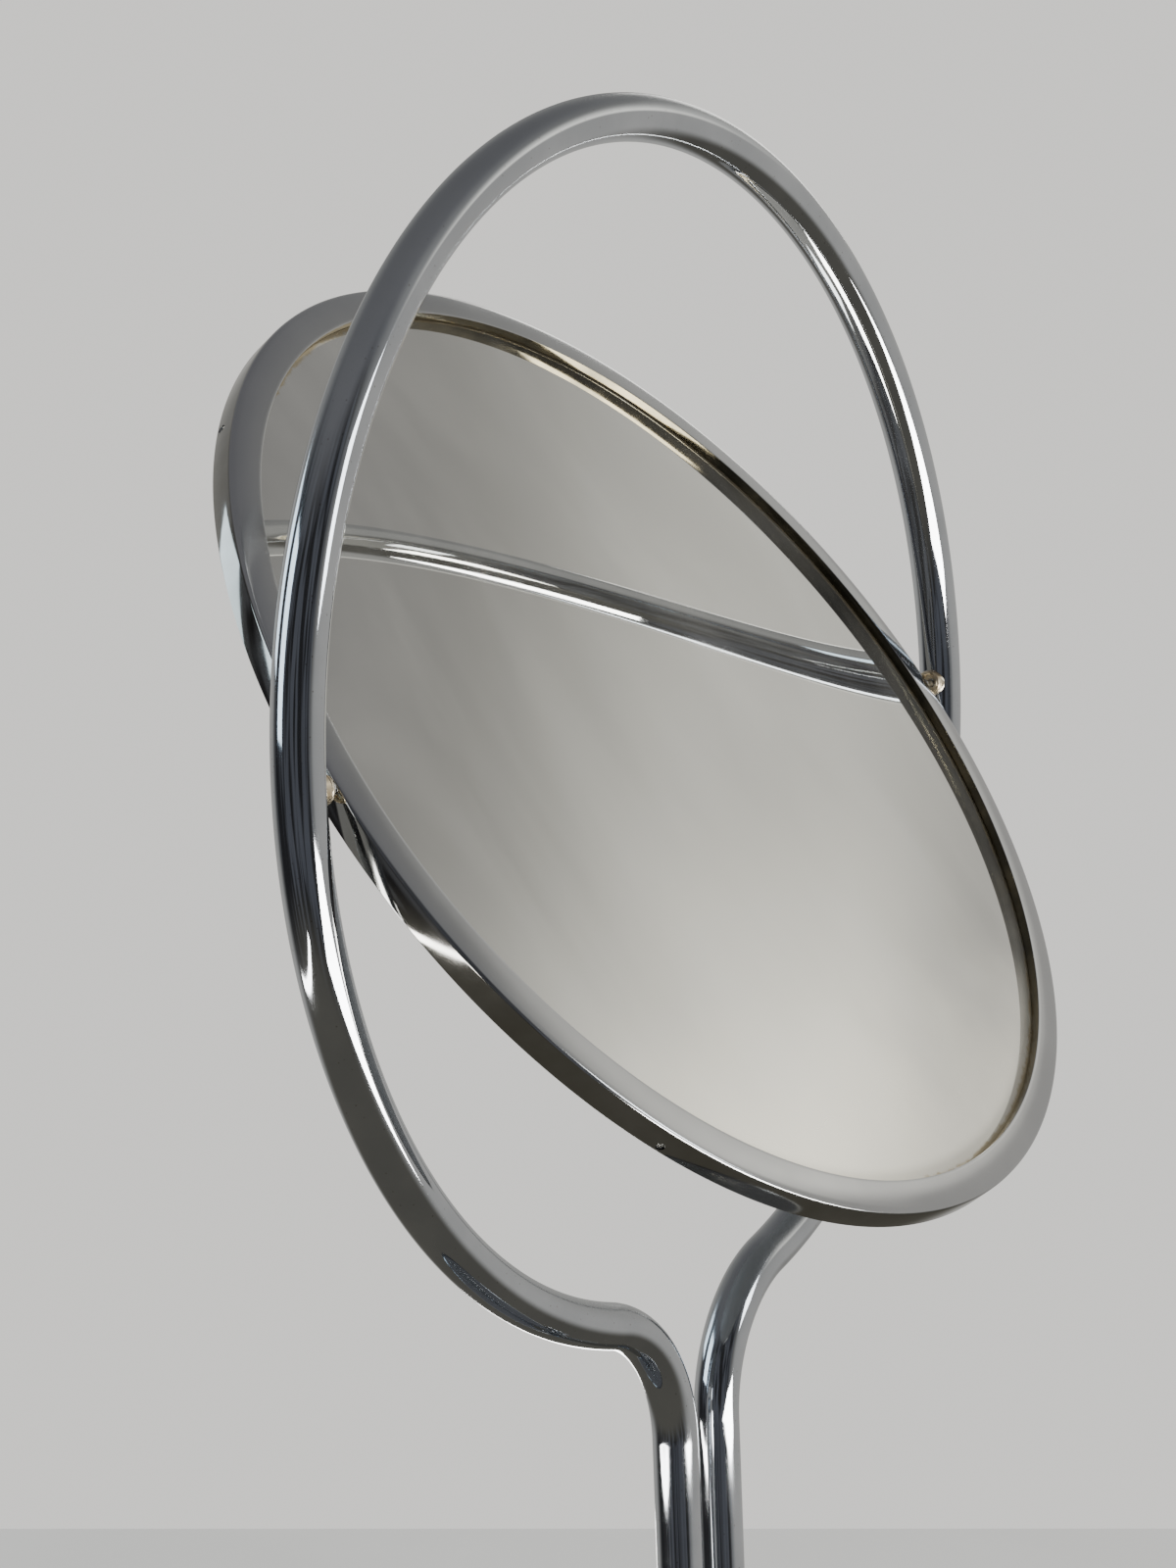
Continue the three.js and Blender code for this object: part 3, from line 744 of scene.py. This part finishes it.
def back_plate():
    """A pressed sheet pan with a shallow stiffening bead and a folded edge."""
    front = PLATE_FRONT
    back = PLATE_FRONT + PLATE_THICKNESS
    radius = RIM_RADIUS - RIM_WALL - 0.3
    profile = [
        (0, front),
        (radius - 1.2, front, 0.2),
        (radius - 1.2, front - PLATE_FOLD, 0.2),
        (radius, front - PLATE_FOLD, 0.2),
        (radius, back, 0.7),
        (PLATE_BEAD_RADIUS + 3, back, 0.5),
        (PLATE_BEAD_RADIUS, back - 0.35, 0.8),
        (PLATE_BEAD_RADIUS - 3, back, 0.5),
        (0, back),
    ]
    pan = turned(rounded(profile, 0.4), "y", DISC_SEGMENTS)
    return made("back_plate", pan, "painted_steel", "mirror", place=LEANING)


def rim_screw(number, angle):
    """A small slotted screw, its head sunk just below the band."""
    head = RIM_RADIUS - SCREW_SINK
    end = head - SCREW_LENGTH
    profile = [(0, end), (SCREW_RADIUS, end), (SCREW_RADIUS, head, 0.25), (0, head)]
    shank = turned(rounded(profile, 0.1), "x", 24)
    slot = boxed((head - 0.5, -0.2, -2), (head + 1, 0.2, 2))
    place = LEANING @ at(y=SCREW_Y) @ spoke(angle)
    return made(f"rim_screw_{number}", cut(shank, [slot]), "bright_steel", "mirror", place=place)


def pivot_pin(name, side):
    """A steel pin with a low collar just outside the band."""
    root = RIM_RADIUS - 1.5
    collar_start = RIM_RADIUS + 0.3
    collar_end = collar_start + 0.8
    profile = [
        (0, root),
        (PIN_RADIUS, root, 0.2),
        (PIN_RADIUS, collar_start),
        (PIN_HEAD, collar_start, 0.2),
        (PIN_HEAD, collar_end, 0.3),
        (PIN_RADIUS, collar_end),
        (PIN_RADIUS, PIN_END, 0.3),
        (0, PIN_END),
    ]
    pin = turned(rounded(profile, 0.05), "x", 40)
    return made(f"pivot_pin_{name}", pin, "bright_steel", "mirror", place=LEANING @ facing(side))


# ---- base and sleeves ----


def quarter(centre, height, width, rise, steps):
    """Profile points of a quarter ellipse, from its widest point up to its top."""
    points = []
    for i in range(steps + 1):
        angle = math.pi / 2 * i / steps
        points.append((centre + width * math.cos(angle), height + rise * math.sin(angle), 0))
    return points


def cover_side(inset):
    """One side of the cover's sheet: round shoulder, gentle slope and flat top."""
    width = COVER_EDGE - inset
    rise = COVER_SHOULDER_RISE - inset
    top = COVER_TOP - inset
    shoulder = quarter(COVER_RADIUS - COVER_EDGE, COVER_SHOULDER_Z, width, rise, 16)
    return shoulder + [(30, top, 6), (0, top)]


def cover():
    """The pressed cover of the base."""
    hem = [(COVER_RADIUS - COVER_SHEET, 1.2, 0.3), (COVER_RADIUS, 1.2, 0.3)]
    profile = cover_side(COVER_SHEET)[::-1] + hem + cover_side(0.0)
    return made("base_cover", turned(rounded(profile, 0.3), "z", 192), "chrome", "stand")


def foot():
    """A rubber ring that stands on two narrow lips."""
    profile = [
        (FOOT_INNER, 0),
        (FOOT_INNER + 2, 0),
        (FOOT_INNER + 3, 0.4),
        (FOOT_OUTER - 3, 0.4),
        (FOOT_OUTER - 2, 0),
        (FOOT_OUTER, 0),
        (FOOT_OUTER, FOOT_HEIGHT, 0.4),
        (FOOT_INNER, FOOT_HEIGHT, 0.4),
    ]
    ring = turned(rounded(profile, 0.3, closed=True), "z", 128, closed=True)
    return made("foot_ring", ring, "rubber", "stand")


def sleeve(name, side):
    """An outer tube with broken edges."""
    profile = [
        (SLEEVE_BORE, SLEEVE_FOOT, 0.2),
        (SLEEVE_RADIUS, SLEEVE_FOOT, 0.2),
        (SLEEVE_RADIUS, SLEEVE_TOP, 0.3),
        (SLEEVE_BORE, SLEEVE_TOP, 0.3),
    ]
    tube = turned(rounded(profile, 0.2, closed=True), "z", 64, closed=True)
    return made(f"sleeve_{name}", tube, "chrome", "stand", place=at(x=side * LEG_X))


def guide_bush(name, side):
    """A brass ring at a sleeve's mouth, chamfered inside."""
    profile = [
        (GUIDE_BORE, GUIDE_FOOT, 0.4),
        (SLEEVE_RADIUS, GUIDE_FOOT, 0.2),
        (SLEEVE_RADIUS, GUIDE_TOP, 0.2),
        (GUIDE_BORE, GUIDE_TOP, 0.4),
    ]
    bush = turned(rounded(profile, 0.2, closed=True), "z", 48, closed=True)
    return made(f"guide_bush_{name}", bush, "brass", "stand", place=at(x=side * LEG_X))


def from_cad(name, slot, body, bevel):
    """The CAD node's own shape with its triangles joined into faces and its edges rounded."""
    bm = bmesh.new()
    bm.from_mesh(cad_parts[name].data)
    bmesh.ops.remove_doubles(bm, verts=bm.verts, dist=0.01 * MM)
    bmesh.ops.dissolve_limit(bm, angle_limit=math.radians(1), verts=bm.verts, edges=bm.edges)
    return made(name, bm, slot, body, bevel=bevel)


def knob_sections():
    """(y, radius, depth of the ribs) from the dished end, along the head and hub, and into the bore."""
    end, back, root = KNOB_END, KNOB_END + 10.0, -13.8
    edge, rib = KNOB_RADIUS - 0.4, 0.7
    return [
        (end, 0.0, 0.0),
        (end + 0.6, 3.0, 0.0),
        (end + 0.6, 6.0, 0.0),
        (end, 7.6, 0.0),
        (end, 8.6, 0.0),
        (end + 0.8, edge, rib),
        (end + 1.2, KNOB_RADIUS, 1.0),
        (back - 1.2, KNOB_RADIUS, 1.0),
        (back - 0.8, edge, rib),
        (back, 8.4, 0.0),
        (back, KNOB_HUB, 0.0),
        (root - 0.4, KNOB_HUB, 0.0),
        (root, KNOB_HUB - 0.4, 0.0),
        (root, KNOB_BORE, 0.0),
        (end + 4.0, KNOB_BORE, 0.0),
        (end + 4.0, 0.0, 0.0),
    ]


def knob_ring(bm, y, radius, depth):
    """The corners of one section, dipping by depth between the ribs."""
    if radius == 0:
        return [bm.verts.new((0, y * MM, 0))]
    ring = []
    for i in range(KNOB_STEPS):
        angle = 2 * math.pi * i / KNOB_STEPS
        r = radius - depth * 0.35 * (1 - math.cos(KNOB_RIBS * angle))
        ring.append(bm.verts.new((r * MM * math.cos(angle), y * MM, r * MM * math.sin(angle))))
    return ring


def knob():
    """Ribbed head on a plain hub, bored for the stud, with a dished end."""
    head = bmesh.new()
    rings = [knob_ring(head, *section) for section in knob_sections()]
    bridge(head, zip(rings, rings[1:]), KNOB_STEPS)
    bmesh.ops.recalc_face_normals(head, faces=head.faces)
    return made("clamp_knob", head, "chrome", "clamp", place=at(z=CLAMP_Z))


# ---- carried-over CAD nodes ----

CARRIED = {
    "felt": ["backing_pad"],
    "cast_iron": ["base_weight"],
    "brass": ["clamp_wedge"],
    "bright_steel": [
        "clamp_stud", "base_bolt_left", "base_bolt_right", "base_washer_left", "base_washer_right",
        "boss_grub_left", "boss_grub_right", "collar_grub_left", "collar_grub_right",
    ],
}


def paint_carried_nodes():
    """Nodes whose CAD mesh already has its final shape get only a material."""
    for slot, names in CARRIED.items():
        for name in names:
            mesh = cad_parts[name].data
            mesh.materials.clear()
            mesh.materials.append(MATERIALS[slot])


# ---- room, in metres ----

FLOOR_HALF = 0.655
FLOOR_TURN = math.radians(-63.2)
FLOOR_DROP = -0.2 * MM
WINDOW_DISTANCE = 2.2
WINDOW_AIM = Vector((0.0, 0.0, 0.45))
SUN_HEIGHT = 0.004
COOL = (0.72, 0.88, 1.0)
DAYLIGHT = (0.93, 0.97, 1.0)
WARM = (1.0, 0.98, 0.93)
SUNLIGHT = (1.0, 0.985, 0.95)


def floor():
    """A plain pale floor, turned so that its far edge lies level in the camera's first view."""
    bm = bmesh.new()
    bmesh.ops.create_grid(bm, x_segments=8, y_segments=8, size=FLOOR_HALF)
    place = Matrix.Translation((0, 0, FLOOR_DROP)) @ Matrix.Rotation(FLOOR_TURN, 4, "Z")
    bmesh.ops.transform(bm, matrix=place, verts=bm.verts)
    obj = plain_object("floor", bm)
    m = Nodes("pale_floor", (0.7, 0.7, 0.69), 0.0, 0.7)
    m.colour(m.mix(m.noise(3.0, 6.0), (0.66, 0.66, 0.65), (0.74, 0.74, 0.73)))
    m.roughness(m.span(m.noise(6.0), 0.3, 0.7, 0.6, 0.8))
    obj.data.materials.append(m.material)
    obj.visible_glossy = False


def compass(heading, elevation):
    """The direction at a heading from +Y towards +X and an elevation, both in degrees."""
    level = math.cos(math.radians(elevation))
    x = math.sin(math.radians(heading)) * level
    y = math.cos(math.radians(heading)) * level
    return Vector((x, y, math.sin(math.radians(elevation))))


def soft_box(name, size, radiance, colour):
    """An area light that the camera doesn't see; radiance is what a mirror shows of it."""
    light = bpy.data.lights.new(name, "AREA")
    light.shape = "RECTANGLE"
    light.size, light.size_y = size
    light.energy = 4 * size[0] * size[1] * radiance
    light.color = colour
    obj = bpy.data.objects.new(name, light)
    obj.rotation_mode = "QUATERNION"
    obj.visible_camera = False
    bpy.context.scene.collection.objects.link(obj)
    return obj


def window(name, heading, elevation, size, radiance, colour):
    """A soft box some way off, aimed at the middle of the mirror."""
    box = soft_box(name, size, radiance, colour)
    away = compass(heading, elevation)
    box.location = WINDOW_AIM + away * WINDOW_DISTANCE
    box.rotation_quaternion = (-away).to_track_quat("-Z", "Y")


def sun_patch(name, x, y, heading, size, radiance):
    """A soft box lying just above the floor and shining up, as sunlight does from a pale floor."""
    box = soft_box(name, size, radiance, SUNLIGHT)
    box.location = (x, y, SUN_HEIGHT)
    turn = Matrix.Rotation(-math.radians(heading), 3, "Z") @ Matrix.Rotation(math.pi, 3, "X")
    box.rotation_quaternion = turn.to_quaternion()


class RoomNodes(Graph):
    """Short calls for the room that the chrome reflects."""

    def __init__(self, tree):
        super().__init__(tree)
        self.direction = tree.nodes.new("ShaderNodeTexCoord").outputs["Generated"]
        split = tree.nodes.new("ShaderNodeSeparateXYZ")
        self.link(self.direction, split.inputs["Vector"])
        self.height = split.outputs["Z"]

    def towards(self, heading, low, high):
        """0 to 1 as the direction turns towards a heading; low and high are cosines."""
        node = self.tree.nodes.new("ShaderNodeVectorMath")
        node.operation = "DOT_PRODUCT"
        node.inputs[1].default_value = compass(heading, 0)
        self.link(self.direction, node.inputs[0])
        return self.span(node.outputs["Value"], low, high)

    def clutter(self, scale, low, high):
        """Soft upright shapes, as of furniture and door frames."""
        mapping = self.tree.nodes.new("ShaderNodeMapping")
        mapping.inputs["Scale"].default_value = (1.0, 1.0, 0.3)
        self.link(self.direction, mapping.inputs["Vector"])
        noise = self.tree.nodes.new("ShaderNodeTexNoise")
        noise.inputs["Scale"].default_value = scale
        noise.inputs["Detail"].default_value = 3.0
        self.link(mapping.outputs["Vector"], noise.inputs["Vector"])
        return self.span(noise.outputs["Fac"], low, high)


def room_world():
    """Plain pale light all round, and in the chrome a pale wall, a dim room and a dark table."""
    world = bpy.data.worlds.new("room")
    bpy.context.scene.world = world
    world.use_nodes = True
    tree = world.node_tree
    room = RoomNodes(tree)
    dim = room.mix(room.clutter(5.0, 0.44, 0.58), (0.025, 0.025, 0.027), (0.1, 0.105, 0.12))
    wall = room.mix(room.span(room.height, 0.12, 0.4), (0.46, 0.455, 0.435), (0.31, 0.31, 0.305))
    soft = room.mix(room.span(room.height, 0.62, 0.44), (0.28, 0.275, 0.255), (0.75, 0.74, 0.695))
    glow = room.mix(room.towards(128, 0.83, 1.0), soft, (1.95, 1.9, 1.72))
    side = room.mix(room.span(room.height, 0.25, 0.36), (0.5, 0.49, 0.465), glow)
    lit = room.mix(room.towards(113, 0.66, 0.95), wall, side)
    around = room.mix(room.towards(82, -0.35, 0.25), dim, lit)
    above = room.mix(room.span(room.height, 0.5, 0.85), around, (0.19, 0.19, 0.2))
    below = room.mix(room.span(room.height, -0.3, -0.6), above, (0.11, 0.105, 0.09))
    glossy = tree.nodes.new("ShaderNodeLightPath").outputs["Is Glossy Ray"]
    background = tree.nodes["Background"]
    tree.links.new(room.mix(glossy, (0.97, 0.955, 0.92), below), background.inputs["Color"])


def room_light():
    """Cool windows on three sides, a warm lamp-lit patch of wall and sunlight on the floor."""
    room_world()
    window("left_window", -52, 16, (0.85, 1.15), 2.8, COOL)
    window("back_window", -15, 17, (0.65, 0.8), 2.4, COOL)
    window("right_window", 162, 13, (0.6, 0.6), 5.0, DAYLIGHT)
    window("wall_patch", 71, 22, (0.55, 0.7), 1.7, WARM)
    sun_patch("left_sun", -0.68, 0.3, 28, (0.06, 1.0), 11.0)
    sun_patch("right_sun", 0.4, 0.34, 25, (0.11, 0.32), 8.0)
    sun_patch("front_sun", 0.1, -1.6, 172, (0.9, 1.7), 14.0)


# ---- camera ----

CAMERA_AT = Vector((-0.7094, -0.4390, 0.5251))
CAMERA_AIM = Vector((-0.0139, 0.0183, 0.4400))
CAMERA_ROLL = math.radians(-2.24)
CAMERA_LENS = 71.2


def camera():
    """A standing person's view from the front left, with the base below the picture."""
    data = bpy.data.cameras.new("camera")
    data.sensor_width = 36.0
    data.lens = CAMERA_LENS
    data.clip_start = 0.01
    obj = bpy.data.objects.new("camera", data)
    obj.location = CAMERA_AT
    obj.rotation_mode = "QUATERNION"
    level = (CAMERA_AIM - CAMERA_AT).to_track_quat("-Z", "Y")
    obj.rotation_quaternion = level @ Matrix.Rotation(CAMERA_ROLL, 3, "Z").to_quaternion()
    bpy.context.scene.collection.objects.link(obj)
    bpy.context.scene.camera = obj


# ---- assembly ----


def build():
    """Every piece of the object."""
    hoop()
    rim()
    glass()
    back_plate()
    for number, angle in enumerate(SCREW_ANGLES, 1):
        rim_screw(number, angle)
    cover()
    foot()
    knob()
    from_cad("collar", "chrome", "stand", BLOCK_EDGE)
    from_cad("base_boss", "chrome", "stand", BLOCK_EDGE)
    for name, side in SIDES.items():
        pivot_bush(name, side)
        pivot_pin(name, side)
        leg_plug(name, side)
        sleeve(name, side)
        guide_bush(name, side)
    paint_carried_nodes()


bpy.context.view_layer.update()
camera()
floor()
room_light()
build()
